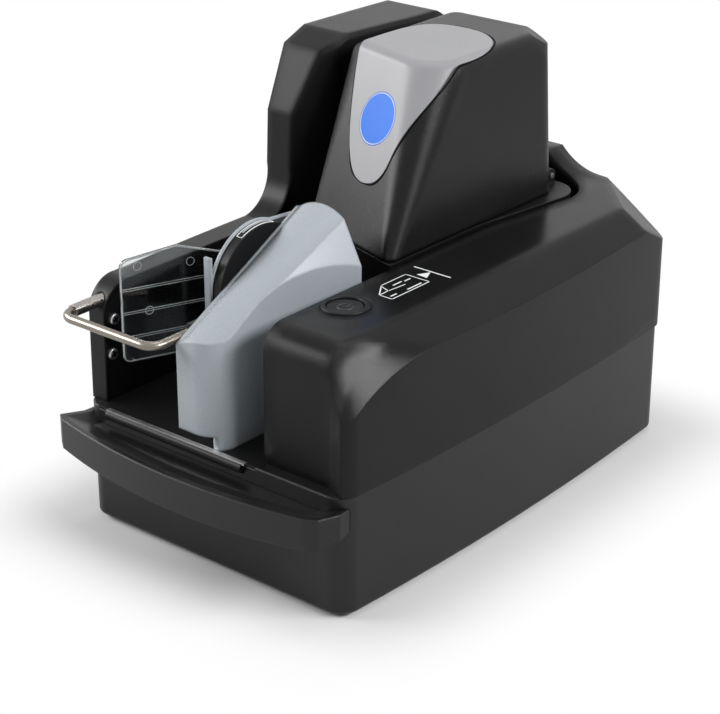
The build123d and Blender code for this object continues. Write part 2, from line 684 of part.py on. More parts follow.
def exit_flange():
    rim = across(exit_profile(EXIT_FRONT_Y - 1.2, -1.2), EXIT_LEFT_X - 1.4, EXIT_LEFT_X)
    rim -= across(exit_profile(EXIT_FRONT_Y + 1.2, 1.2), EXIT_LEFT_X - 2, EXIT_LEFT_X + 1)
    rim &= block(-30, 0, EXIT_FRONT_Y - 5, -40, 110, 170)
    upright = block(EXIT_LEFT_X - 4, EXIT_LEFT_X, EXIT_FRONT_Y - 1.2, EXIT_FRONT_Y + 0.4, 110, 143)
    return rim + upright


def flag_pin():
    return post(FLAG_HINGE_X, FLAG_HINGE_Y, FLAG_PIN_RADIUS, 84, 127)


def clear_flag():
    """The clear leaf that keeps the sorted documents against the pocket wall."""
    face = outline(
        Line((0, FLAG_BOTTOM_Z), (FLAG_LENGTH - 3, FLAG_BOTTOM_Z)),
        ThreePointArc((FLAG_LENGTH - 3, FLAG_BOTTOM_Z), (FLAG_LENGTH - 0.9, FLAG_BOTTOM_Z + 0.9),
                      (FLAG_LENGTH, FLAG_BOTTOM_Z + 3)),
        Line((FLAG_LENGTH, FLAG_BOTTOM_Z + 3), (FLAG_LENGTH, 138.5)),
        ThreePointArc((FLAG_LENGTH, 138.5), (FLAG_LENGTH - 1.1, 141.6), (FLAG_LENGTH - 4, 142.9)),
        Line((FLAG_LENGTH - 4, 142.9), (27, 145.8)),
        Line((27, 145.8), (3, 138.3)),
        Line((3, 138.3), (3, 123.0)),
        Line((3, 123.0), (0, 123.0)),
        Line((0, 123.0), (0, FLAG_BOTTOM_Z)),
    )
    leaf = extrude(Plane.XZ * face, FLAG_THICKNESS / 2, both=True)
    for z in (103.2, 115.5, 127.2):
        leaf += block(6, FLAG_LENGTH - 1, -FLAG_THICKNESS / 2 - 0.5, FLAG_THICKNESS / 2, z - 0.5, z + 0.5)
    knuckle = post(0, 0, KNUCKLE_RADIUS, FLAG_BOTTOM_Z, 123.0)
    leaf = leaf + knuckle - post(0, 0, FLAG_PIN_RADIUS + RUNNING, 80, 130)
    return Pos(FLAG_HINGE_X, FLAG_HINGE_Y, 0) * Rot(0, 0, -90 - FLAG_ANGLE) * leaf


# ---------------------------------------------------------------- divider
def divider_plan(inset):
    face = outline(
        Line((DIVIDER_LEFT_X, DIVIDER_FRONT_Y), (-4, DIVIDER_FRONT_Y - 0.3)),
        ThreePointArc((-4, DIVIDER_FRONT_Y - 0.3), (5.2, -125.0), (8.7, -116)),
        Line((8.7, -116), (8.9, -98)),
        ThreePointArc((8.9, -98), (15.5, -70), (25.4, DIVIDER_REAR_Y)),
        Line((25.4, DIVIDER_REAR_Y), (25.4, -40)),
        Line((25.4, -40), (DIVIDER_LEFT_X, -40)),
        Line((DIVIDER_LEFT_X, -40), (DIVIDER_LEFT_X, DIVIDER_FRONT_Y)),
    )
    return offset_if(face, inset)


def roof_section(y, left_z, top_z, shoulder_x, shoulder_z, side_x, side_z, inset):
    """A front-view slice of the divider: sloping left edge, crown and right shoulder."""
    left = DIVIDER_LEFT_X - 10
    face = outline(
        Line((left, 40), (left, left_z - 4)),
        Line((left, left_z - 4), (DIVIDER_LEFT_X + 3, left_z)),
        ThreePointArc((DIVIDER_LEFT_X + 3, left_z), ((DIVIDER_LEFT_X + shoulder_x) / 2 + 2, top_z),
                      (shoulder_x, shoulder_z)),
        Line((shoulder_x, shoulder_z), (side_x, side_z)),
        Line((side_x, side_z), (side_x, 40)),
        Line((side_x, 40), (left, 40)),
    )
    return Plane.XZ.offset(-y) * offset_if(face, inset)


def divider_form(inset):
    front = roof_section(-135, 110.0, 112.5, 6, 110.0, 14, 103, inset)
    rear = roof_section(DIVIDER_REAR_Y, 156.2, 160.2, 15, 155.5, 26.2, 133, inset)
    roof = loft([front, rear], ruled=True)
    return roof & rise(divider_plan(inset), 40, 180)


def divider_shell():
    """The grey divider: front, right side and roof, open to the left and the back."""
    outer = divider_form(0)
    inner = divider_form(DIVIDER_WALL) + Pos(-DIVIDER_WALL * 2, 0, 0) * divider_form(DIVIDER_WALL)
    inner += Pos(0, 2 * DIVIDER_WALL, 0.9 * DIVIDER_WALL) * (divider_form(DIVIDER_WALL) & block(-50, 50, -60, 0, 0, 200))
    shell = outer - inner
    shell -= block(-60, 60, -200, 0, 0, PARTING_Z)
    shell -= block(-60, 0.5, -200, 0, 0, DIVIDER_BOTTOM_Z)
    shell -= block(-60, 60, -200, DIVIDER_FOOT_Y, 0, DIVIDER_BOTTOM_Z)
    return shell


# ---------------------------------------------------------------- island
def island():
    """The block inside the track; it carries the rollers, the heads and the inner tower."""
    body = rise(island_plan(), PARTING_Z, DECK_Z)
    for x, y in SHAFT_PLACES:
        body -= post(x, y, DRIVE_RADIUS + 1.0, TYRE_LEVELS[0] - 2, TYRE_LEVELS[1] + TYRE_WIDTH + 2)
        body -= post(x, y, SHAFT_RADIUS + RUNNING, PARTING_Z - 1, TYRE_LEVELS[1] + TYRE_WIDTH + 10)
    body -= inner_camera_space(FIT) + micr_space(FIT) + cartridge_space(0.5)
    for x in HINGE_LUG_PLACES:
        lug = across(Circle(HINGE_LUG), x, x + 6)
        lug = Pos(0, HINGE_Y, HINGE_Z) * lug
        body += lug + block(x, x + 6, HINGE_Y - HINGE_LUG, HINGE_Y + HINGE_LUG, DECK_Z - 2, HINGE_Z)
    return body - hinge_rod(PIN_RADIUS, 6)


HINGE_LUG_PLACES = (-28.0, 12.0)


def hinge_rod(radius, extra):
    x0 = HINGE_LUG_PLACES[0] - extra
    x1 = HINGE_LUG_PLACES[1] + 6 + extra
    return along_x_rod(x0, x1, HINGE_Y, HINGE_Z, radius)


def tower_hinge_pin():
    return hinge_rod(PIN_RADIUS, 0.8)


# ---------------------------------------------------------------- inner tower
def tower_section(z, front_left_y, front_right_y, left_x, right_x, back_y, corner, inset):
    face = polygon((left_x, front_left_y), (right_x, front_right_y), (right_x, back_y), (left_x, back_y))
    corners = face.vertices().sort_by(Axis.Y)
    face = fillet(corners[0:1], corner)
    back = face.vertices().group_by(Axis.Y)[-1]
    face = fillet(back, 9.0)
    return Pos(0, 0, z) * offset_if(face, inset)


def inner_tower_form(inset):
    low = tower_section(TOWER_SEAT_Z, -5.0, -26.0, -41.2, 26.2, 112.0, 6.0, inset)
    high = tower_section(INNER_TOP_Z - inset, 32.5, 15.0, -43.0, 21.6, 112.0, 20.0, inset)
    form = loft([low, high], ruled=True)
    form = fillet(form.faces().sort_by(Axis.Z)[-1].edges(), TOWER_TOP_RADIUS - inset)
    if inset > 0:
        form += rise(tower_section(0, -5.0, -26.0, -41.2, 26.2, 112.0, 6.0, inset),
                     TOWER_SEAT_Z - 5, TOWER_SEAT_Z)
    facet = Plane(origin=(22.5, 91, INNER_TOP_Z), x_dir=(-24, 25, 0), z_dir=normal_of(
        (22.5, 91, INNER_TOP_Z), (23, 113, 204), (-1.5, 116, INNER_TOP_Z)))
    return form - facet * (Pos(0, 0, 40 - inset) * Box(200, 200, 80))


def tower_tabs():
    tabs = []
    for x in (HINGE_LUG_PLACES[0] + 6 + NIP_GAP, HINGE_LUG_PLACES[1] - 8 - NIP_GAP):
        barrel = Pos(0, HINGE_Y, HINGE_Z) * across(Circle(HINGE_LUG), x, x + 8)
        web = block(x, x + 8, 110, HINGE_Y, HINGE_Z - 1.0, HINGE_Z + HINGE_LUG)
        tabs.append(barrel + web)
    return tabs


def inner_tower_cover():
    """The hinged cover over the print cartridge."""
    cover = inner_tower_form(0) - inner_tower_form(WALL)
    for tab in tower_tabs():
        cover += tab - inner_tower_form(WALL)
    return cover - hinge_rod(PIN_RADIUS + RUNNING, 2)


INLAY_THICKNESS = 0.5
INLAY_PLANE = Plane(origin=(0, 20, 190), x_dir=(1, 0, 0), z_dir=(0, -math.sqrt(0.5), math.sqrt(0.5)))
INLAY_OUTLINE = [
    (-3.7, -40.0), (-16.5, -36.5), (-24.0, -27.0), (-31.8, -6.7), (-36.8, 15.0), (-38.0, 42.0),
    (-33.0, 57.0), (-16.0, 62.5), (5.0, 59.0), (17.5, 48.0), (20.0, 26.0), (17.5, 6.0), (8.0, -24.0), (3.5, -36.0),
]


def inlay_prism():
    face = make_face(Spline(*INLAY_OUTLINE, periodic=True))
    return extrude(INLAY_PLANE * face, 60, both=True)


def tower_inlay():
    skin = inner_tower_form(-INLAY_THICKNESS) - inner_tower_form(0)
    return (skin & inlay_prism()) - badge_space()


BADGE_CENTRE = (-10.2, 10.5, 185.5)
BADGE_NORMAL = (-0.257, -0.881, 0.398)
BADGE_RADIUS = 13.4


def badge_space():
    plane = Plane(origin=BADGE_CENTRE, z_dir=BADGE_NORMAL)
    return plane * Cylinder(BADGE_RADIUS, 20)


def badge():
    return (inner_tower_form(-INLAY_THICKNESS) - inner_tower_form(0)) & badge_space()


# ---------------------------------------------------------------- rollers
def drive_centre(y):
    return (island_right_x(y) + DRIVE_STICK_OUT - DRIVE_RADIUS, y)


def left_drive_centre(y):
    return (ISLAND_LEFT_X - DRIVE_STICK_OUT + DRIVE_RADIUS, y)


def pinch_centre(drive, side):
    return (drive[0] + side * (DRIVE_RADIUS + NIP_GAP + PINCH_RADIUS), drive[1])


FEED_PLACE = drive_centre(FEED_Y)
CARRY_PLACE = drive_centre(CARRY_Y)
RETURN_PLACE = left_drive_centre(RETURN_Y)
EXIT_PLACE = left_drive_centre(EXIT_Y)
SHAFT_PLACES = [FEED_PLACE, CARRY_PLACE, RETURN_PLACE, EXIT_PLACE]
PINCH_PLACES = [pinch_centre(FEED_PLACE, 1), pinch_centre(CARRY_PLACE, 1),
                pinch_centre(RETURN_PLACE, -1), pinch_centre(EXIT_PLACE, -1)]
ROLLER_NAMES = ["feed", "carry", "return", "exit"]


def pulley(x, y):
    wheel = post(x, y, PULLEY_RADIUS, PULLEY_LOW_Z, PULLEY_LOW_Z + PULLEY_WIDTH)
    for z in (PULLEY_LOW_Z - 1, PULLEY_LOW_Z + PULLEY_WIDTH):
        wheel += post(x, y, FLANGE_RADIUS, z, z + 1)
    return wheel


def roller_shaft(x, y):
    shaft = post(x, y, SHAFT_RADIUS, DRIVE_PLATE_Z, TYRE_LEVELS[1] + TYRE_WIDTH + 8)
    for z in TYRE_LEVELS:
        shaft += post(x, y, DRIVE_RADIUS - 3, z, z + TYRE_WIDTH)
    return shaft + pulley(x, y)


def roller_tyres(x, y):
    return Compound(children=[tube(x, y, DRIVE_RADIUS, DRIVE_RADIUS - 3, z, z + TYRE_WIDTH)
                              for z in TYRE_LEVELS])


def pinch_roller(x, y):
    wheel = post(x, y, PINCH_CORE_RADIUS, TYRE_LEVELS[0], TYRE_LEVELS[1] + TYRE_WIDTH)
    for z in TYRE_LEVELS:
        wheel += post(x, y, PINCH_RADIUS, z, z + TYRE_WIDTH)
    return wheel - post(x, y, PIN_RADIUS + RUNNING, 60, 120)


def pinch_pins():
    pins = []
    for x, y in PINCH_PLACES:
        pin = post(x, y, PIN_RADIUS, BASE_TOP_INSIDE, GUIDE_TOP_Z - 3)
        pins.append(pin + post(x, y, PINCH_CORE_RADIUS, PARTING_Z, TYRE_LEVELS[0] - NIP_GAP))
    return Compound(children=pins)


# ---------------------------------------------------------------- drive in the base
def drive_plate():
    plate = rise(polygon((-60, -30), (42, -30), (52, 114), (-57, 114)), DRIVE_PLATE_Z,
                 DRIVE_PLATE_Z + DRIVE_PLATE_THICKNESS)
    for x, y in SHAFT_PLACES:
        plate -= post(x, y, SHAFT_RADIUS + RUNNING, 0, 60)
    return plate - post(MOTOR_X, MOTOR_Y, 6.0, 0, 60)


def drive_motor():
    low = DRIVE_PLATE_Z - MOTOR_HEIGHT
    can = fillet(post(MOTOR_X, MOTOR_Y, MOTOR_RADIUS, low, DRIVE_PLATE_Z).edges(), 1.0)
    return can + post(MOTOR_X, MOTOR_Y, 5.0, DRIVE_PLATE_Z - 1, DRIVE_PLATE_Z + 2.5) - post(
        MOTOR_X, MOTOR_Y, SHAFT_RADIUS + RUNNING, DRIVE_PLATE_Z - 15, 60)


def motor_pulley():
    return pulley(MOTOR_X, MOTOR_Y) + post(MOTOR_X, MOTOR_Y, SHAFT_RADIUS, DRIVE_PLATE_Z - 14, PULLEY_LOW_Z + 9)


def drive_belt():
    route = polygon(FEED_PLACE, CARRY_PLACE, RETURN_PLACE, EXIT_PLACE, (MOTOR_X, MOTOR_Y))
    outer = offset(route, PULLEY_RADIUS + NIP_GAP + BELT_THICKNESS)
    inner = offset(route, PULLEY_RADIUS + NIP_GAP)
    return rise(outer - inner, PULLEY_LOW_Z + 0.5, PULLEY_LOW_Z + PULLEY_WIDTH - 0.5)


# ---------------------------------------------------------------- electronics and heads
BOARD_Z = 8.0
INLET_X = 52.0
USB_X = 30.0


def inlet_body(grow):
    return block(INLET_X - 4.5 - grow, INLET_X + 4.5 + grow, 128, 147.5, BOARD_Z + 1.6 - grow, BOARD_Z + 12.6 + grow)


def power_inlet():
    """A barrel socket, flush in the back wall."""
    bore = along_y_rod(INLET_X, BOARD_Z + 7.1, 3.2, 134, 148)
    pin = along_y_rod(INLET_X, BOARD_Z + 7.1, 1.0, 134, 145)
    return (inlet_body(0) & rise(body_plan(OVERHANG), 0, 62)) - bore + pin


def usb_body(grow):
    return block(USB_X - 6 - grow, USB_X + 6 + grow, 130, 150, BOARD_Z + 1.6 - grow, BOARD_Z + 12.6 + grow)


def usb_port():
    shell = usb_body(0) & rise(body_plan(OVERHANG), 0, 62)
    shell -= block(USB_X - 4.2, USB_X + 4.2, 136, 160, BOARD_Z + 3.2, BOARD_Z + 11.2)
    return shell + block(USB_X - 2.8, USB_X + 2.8, 135.9, 143, BOARD_Z + 5.6, BOARD_Z + 8.8)


def main_board():
    board = block(2, 60, -10, 133, BOARD_Z, BOARD_Z + 1.6)
    for x, y in [(6, -5), (56, -5), (6, 125), (44, 125)]:
        board += post(x, y, 3.0, FLOOR_Z, BOARD_Z)
    for x, y, w, d, h in [(30, 60, 22, 22, 2.2), (20, 100, 10, 14, 1.6), (45, 30, 12, 12, 4.0)]:
        board += block(x - w / 2, x + w / 2, y - d / 2, y + d / 2, BOARD_Z + 1.6, BOARD_Z + 1.6 + h)
    return board


INNER_CAMERA_Y = 34.0
OUTER_CAMERA_Y = 20.0
CAMERA_WIDTH = 12.0
CAMERA_DEPTH = 14.0
CAMERA_LOW_Z = 63.0
CAMERA_HIGH_Z = 112.0


def inner_camera_space(grow):
    x = COVER_WALL_X - TRACK_GAP
    return block(x - CAMERA_DEPTH - grow, x + 1, INNER_CAMERA_Y - CAMERA_WIDTH / 2 - grow,
                 INNER_CAMERA_Y + CAMERA_WIDTH / 2 + grow, PARTING_Z, CAMERA_HIGH_Z + grow)


def outer_camera_space(grow):
    x = COVER_WALL_X
    return block(x - 1, x + CAMERA_DEPTH + grow, OUTER_CAMERA_Y - CAMERA_WIDTH / 2 - grow,
                 OUTER_CAMERA_Y + CAMERA_WIDTH / 2 + grow, PARTING_Z, CAMERA_HIGH_Z + grow)


def camera(face_x, y, side):
    """A scan bar: a housing with a slit and a lens row behind its glass."""
    body = block(min(face_x + side * 2, face_x + side * CAMERA_DEPTH), max(face_x + side * 2, face_x + side * CAMERA_DEPTH),
                 y - CAMERA_WIDTH / 2, y + CAMERA_WIDTH / 2, PARTING_Z, CAMERA_HIGH_Z)
    slit = block(min(face_x, face_x + side * 7), max(face_x, face_x + side * 7), y - 2, y + 2,
                 CAMERA_LOW_Z + 2, CAMERA_HIGH_Z - 2)
    return body - slit


def camera_glass(face_x, y, side):
    x0, x1 = sorted((face_x + side * 0.2, face_x + side * 2))
    return block(x0, x1, y - CAMERA_WIDTH / 2, y + CAMERA_WIDTH / 2, PARTING_Z, CAMERA_HIGH_Z)


MICR_Y = 12.0


def micr_space(grow):
    x = COVER_WALL_X - TRACK_GAP
    return block(x - 12 - grow, x + 1, MICR_Y - 5 - grow, MICR_Y + 5 + grow, PARTING_Z, 78 + grow)


def micr_head():
    """The magnetic reading head, with a round nose that meets the documents."""
    x = COVER_WALL_X - TRACK_GAP
    body = block(x - 12, x - 3, MICR_Y - 5, MICR_Y + 5, PARTING_Z, 78)
    nose = post(x - 3.2, MICR_Y, 4.0, 64, 76)
    return body + nose


CARTRIDGE_Y = 36.0


def cartridge_space(grow):
    return block(-38.5 - grow, -18 + grow, CARTRIDGE_Y - 18 - grow, CARTRIDGE_Y + 18 + grow, 84, 200) + block(
        ISLAND_LEFT_X - 1, -36, CARTRIDGE_Y - 6, CARTRIDGE_Y + 6, 86, 98)


def ink_cartridge():
    """The endorser's cartridge; its nozzle looks through a window at the track."""
    body = block(-38.5, -18, CARTRIDGE_Y - 18, CARTRIDGE_Y + 18, 84, 128)
    body += block(-36, -20, CARTRIDGE_Y - 14, CARTRIDGE_Y + 14, 128, 136)
    nozzle = block(-40.5, -38.5, CARTRIDGE_Y - 5, CARTRIDGE_Y + 5, 87, 97)
    return fillet(body.edges().filter_by(Axis.Z), 1.5) + nozzle


# ---------------------------------------------------------------- all the pieces
def build():
    save("base_casing", base_casing())
    save("bottom_plate", bottom_plate())
    save("bottom_screws", bottom_screws())
    save("rubber_feet", rubber_feet())
    save("front_lip", front_lip())
    save("floor_plate", floor_plate())
    save("wear_strip", wear_strip())
    save("main_cover", main_cover())
    save("button_bezel", button_bezel())
    save("button_board", button_board())
    save("power_button", power_button())
    save("hopper_pusher", hopper_pusher())
    save("pusher_pin", pusher_pin())
    save("outer_guide", outer_guide())
    save("left_housing", left_housing())
    save("wall_screws", wall_screws())
    save("bail_sleeve", bail_sleeve())
    save("wire_bail", wire_bail())
    save("bail_guide", bail_guide())
    save("exit_guide", exit_guide())
    save("exit_flange", exit_flange())
    save("flag_pin", flag_pin())
    save("clear_flag", clear_flag())
    save("divider_shell", divider_shell())
    save("island", island())
    save("tower_hinge_pin", tower_hinge_pin())
    save("inner_tower_cover", inner_tower_cover())
    save("tower_inlay", tower_inlay())
    save("tower_badge", badge())
    for name, place in zip(ROLLER_NAMES, SHAFT_PLACES):
        save(name + "_roller_shaft", roller_shaft(*place))
        save(name + "_roller_tyres", roller_tyres(*place))
    for name, place in zip(ROLLER_NAMES, PINCH_PLACES):
        save(name + "_pinch_roller", pinch_roller(*place))
    save("pinch_pins", pinch_pins())
    save("drive_plate", drive_plate())
    save("drive_motor", drive_motor())
    save("motor_pulley", motor_pulley())
    save("drive_belt", drive_belt())
    save("main_board", main_board())
    save("power_inlet", power_inlet())
    save("usb_port", usb_port())
    save("inner_camera", camera(COVER_WALL_X - TRACK_GAP, INNER_CAMERA_Y, -1))
    save("outer_camera", camera(COVER_WALL_X, OUTER_CAMERA_Y, 1))
    save("inner_camera_glass", camera_glass(COVER_WALL_X - TRACK_GAP, INNER_CAMERA_Y, -1))
    save("outer_camera_glass", camera_glass(COVER_WALL_X, OUTER_CAMERA_Y, 1))
    save("micr_head", micr_head())
    save("ink_cartridge", ink_cartridge())


build()
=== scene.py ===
import json
import math

import bpy
from mathutils import Matrix, Vector
from mathutils.bvhtree import BVHTree


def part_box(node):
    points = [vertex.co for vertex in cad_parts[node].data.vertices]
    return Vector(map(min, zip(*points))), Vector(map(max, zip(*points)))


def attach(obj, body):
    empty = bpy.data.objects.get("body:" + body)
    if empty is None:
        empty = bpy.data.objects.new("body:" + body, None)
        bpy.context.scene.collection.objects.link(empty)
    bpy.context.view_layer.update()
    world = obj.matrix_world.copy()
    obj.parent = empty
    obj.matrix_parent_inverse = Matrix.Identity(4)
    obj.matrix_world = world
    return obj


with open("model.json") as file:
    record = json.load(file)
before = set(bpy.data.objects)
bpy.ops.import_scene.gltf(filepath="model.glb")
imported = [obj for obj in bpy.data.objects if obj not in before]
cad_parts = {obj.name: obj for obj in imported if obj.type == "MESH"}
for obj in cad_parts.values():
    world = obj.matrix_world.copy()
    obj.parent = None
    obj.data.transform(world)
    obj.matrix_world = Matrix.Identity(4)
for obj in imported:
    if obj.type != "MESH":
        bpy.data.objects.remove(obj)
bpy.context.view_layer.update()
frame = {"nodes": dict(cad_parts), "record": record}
NODES = frame["nodes"]
MM = 0.001


# ---------------------------------------------------------------- camera
CAMERA_AZIMUTH = math.radians(39.8)
CAMERA_ELEVATION = math.radians(24.3)
CAMERA_DISTANCE = 1.052
FOCAL_PIXELS = 2100.0
IMAGE_WIDTH = 720
AIM = Vector((0.0, -0.004, 0.070))
AIM_RIGHT = -15.0 / FOCAL_PIXELS
AIM_UP = -6.3 / FOCAL_PIXELS


def make_camera():
    back = Vector((
        math.sin(CAMERA_AZIMUTH) * math.cos(CAMERA_ELEVATION),
        -math.cos(CAMERA_AZIMUTH) * math.cos(CAMERA_ELEVATION),
        math.sin(CAMERA_ELEVATION),
    ))
    right = Vector((math.cos(CAMERA_AZIMUTH), math.sin(CAMERA_AZIMUTH), 0.0))
    up = back.cross(right)
    place = AIM + CAMERA_DISTANCE * (back + AIM_RIGHT * right + AIM_UP * up)
    data = bpy.data.cameras.new("camera")
    data.sensor_fit = "HORIZONTAL"
    data.sensor_width = 36.0
    data.lens = data.sensor_width * FOCAL_PIXELS / IMAGE_WIDTH
    data.clip_start = 0.01
    camera = bpy.data.objects.new("camera", data)
    camera.matrix_world = Matrix((
        (right.x, up.x, back.x, place.x),
        (right.y, up.y, back.y, place.y),
        (right.z, up.z, back.z, place.z),
        (0, 0, 0, 1),
    ))
    bpy.context.scene.collection.objects.link(camera)
    bpy.context.scene.camera = camera


# ---------------------------------------------------------------- shader helpers
class Shader:
    """A material with its node tree and a few short ways to add nodes."""

    def __init__(self, name):
        self.material = bpy.data.materials.new(name)
        self.material.use_nodes = True
        self.nodes = self.material.node_tree.nodes
        self.links = self.material.node_tree.links
        self.main = self.nodes["Principled BSDF"]
        self.place = self.nodes.new("ShaderNodeTexCoord")

    def feed(self, socket, value):
        if isinstance(value, bpy.types.NodeSocket):
            self.links.new(value, socket)
        else:
            socket.default_value = value

    def set(self, name, value):
        self.feed(self.main.inputs[name], value)

    def noise(self, scale, detail=3.0, rough=0.55, stretch=None):
        texture = self.nodes.new("ShaderNodeTexNoise")
        texture.inputs["Scale"].default_value = scale
        texture.inputs["Detail"].default_value = detail
        texture.inputs["Roughness"].default_value = rough
        vector = self.place.outputs["Object"]
        if stretch:
            mapping = self.nodes.new("ShaderNodeMapping")
            mapping.inputs["Scale"].default_value = stretch
            self.links.new(vector, mapping.inputs["Vector"])
            vector = mapping.outputs["Vector"]
        self.links.new(vector, texture.inputs["Vector"])
        return texture.outputs["Fac"]

    def spread(self, value, low, high, from_low=0.35, from_high=0.65):
        node = self.nodes.new("ShaderNodeMapRange")
        node.inputs["From Min"].default_value = from_low
        node.inputs["From Max"].default_value = from_high
        self.feed(node.inputs["To Min"], low)
        self.feed(node.inputs["To Max"], high)
        self.links.new(value, node.inputs["Value"])
        return node.outputs["Result"]

    def mixed(self, factor, first, second):
        node = self.nodes.new("ShaderNodeMix")
        node.data_type = "RGBA"
        self.links.new(factor, node.inputs["Factor"])
        self.feed(node.inputs["A"], first)
        self.feed(node.inputs["B"], second)
        return node.outputs["Result"]

    def upward(self):
        """0 on upright surfaces and 1 on level ones."""
        split = self.nodes.new("ShaderNodeSeparateXYZ")
        self.links.new(self.place.outputs["Normal"], split.inputs["Vector"])
        return self.spread(split.outputs["Z"], 0.0, 1.0, 0.35, 0.75)

    def edge_radius(self, narrow, wide_zones):
        """The largest edge radius in mm; each zone goes from wide to narrow along one axis."""
        split = self.nodes.new("ShaderNodeSeparateXYZ")
        self.links.new(self.place.outputs["Object"], split.inputs["Vector"])
        widest = narrow * MM
        for wide, axis, wide_at, narrow_at in wide_zones:
            zone = self.spread(split.outputs[axis], wide * MM, narrow * MM, wide_at * MM,
                               narrow_at * MM)
            larger = self.nodes.new("ShaderNodeMath")
            larger.operation = "MAXIMUM"
            self.feed(larger.inputs[0], widest)
            self.feed(larger.inputs[1], zone)
            widest = larger.outputs["Value"]
        return widest

    def relief(self, height, strength, depth, edge=0.0):
        """Bump from a height, over edges that are softened by a radius in millimetres."""
        bump = self.nodes.new("ShaderNodeBump")
        self.feed(bump.inputs["Strength"], strength)
        bump.inputs["Distance"].default_value = depth * MM
        self.links.new(height, bump.inputs["Height"])
        if edge:
            bevel = self.nodes.new("ShaderNodeBevel")
            bevel.samples = 6
            driven = isinstance(edge, bpy.types.NodeSocket)
            self.feed(bevel.inputs["Radius"], edge if driven else edge * MM)
            self.links.new(bevel.outputs["Normal"], bump.inputs["Normal"])
        self.set("Normal", bump.outputs["Normal"])


def rgb(r, g, b):
    return (r, g, b, 1.0)


def shade(colour, factor):
    return rgb(*(min(1.0, c * factor) for c in colour))


def mottle(s, scale, colour, darkest, lightest):
    """A base colour that drifts slowly between two shades of it."""
    drift = s.spread(s.noise(scale), 0.0, 1.0)
    s.set("Base Color", s.mixed(drift, shade(colour, darkest), shade(colour, lightest)))


# ---------------------------------------------------------------- materials
GRAIN_SCALE = 1000.0 / 0.6
SPARK_SCALE = 1900.0


def moulded(name, colour, roughness, grain=0.1, edge=0.5, specular=0.3, mottling=0.08):
    """Moulded or painted surface: slow mottling, fine grain and softened edges."""
    s = Shader(name)
    mottle(s, 45.0, colour, 1 - mottling, 1 + mottling)
    fine = s.noise(GRAIN_SCALE, 2.0)
    s.set("Roughness", s.spread(fine, roughness - 0.04, roughness + 0.05))
    s.set("Specular IOR Level", specular)
    s.relief(fine, grain, 0.08, edge)
    return s.material


def casing(name, colour, top_roughness, side_roughness, edge, wide_zones=(), specular=0.18):
    """Black casing: satin on top, with a fine spark-eroded texture on upright faces."""
    s = Shader(name)
    mottle(s, 30.0, colour, 0.85, 1.15)
    fine = s.noise(SPARK_SCALE, 2.0, 0.6)
    smears = s.spread(s.noise(14.0, 4.0), -0.03, 0.03)
    level = s.upward()
    rough = s.spread(level, side_roughness, top_roughness, 0.0, 1.0)
    add = s.nodes.new("ShaderNodeMath")
    add.operation = "ADD"
    s.links.new(rough, add.inputs[0])
    s.links.new(smears, add.inputs[1])
    s.set("Roughness", add.outputs["Value"])
    s.set("Specular IOR Level", specular)
    if wide_zones:
        edge = s.edge_radius(edge, wide_zones)
    s.relief(fine, s.spread(level, 0.55, 0.25, 0.0, 1.0), 0.10, edge)
    return s.material


def metal(name, colour, roughness, scratch=0.1, stretch=(1, 1, 1), edge=0.0, lines_scale=900.0):
    """Bare or plated metal with fine drawn lines."""
    s = Shader(name)
    s.set("Metallic", 1.0)
    mottle(s, 60.0, colour, 0.88, 1.0)
    lines = s.noise(lines_scale, 3.0, 0.55, stretch)
    s.set("Roughness", s.spread(lines, roughness - 0.04, roughness + 0.06))
    s.relief(lines, scratch, 0.03, edge)
    return s.material


def clear(name, colour, roughness):
    """Clear moulding with faint flow marks."""
    s = Shader(name)
    marks = s.noise(120.0, 4.0)
    s.set("Base Color", rgb(*colour))
    s.set("Roughness", s.spread(marks, roughness, roughness + 0.05))
    s.set("Transmission Weight", 1.0)
    s.set("IOR", 1.45)
    s.relief(marks, 0.05, 0.05)
    return s.material


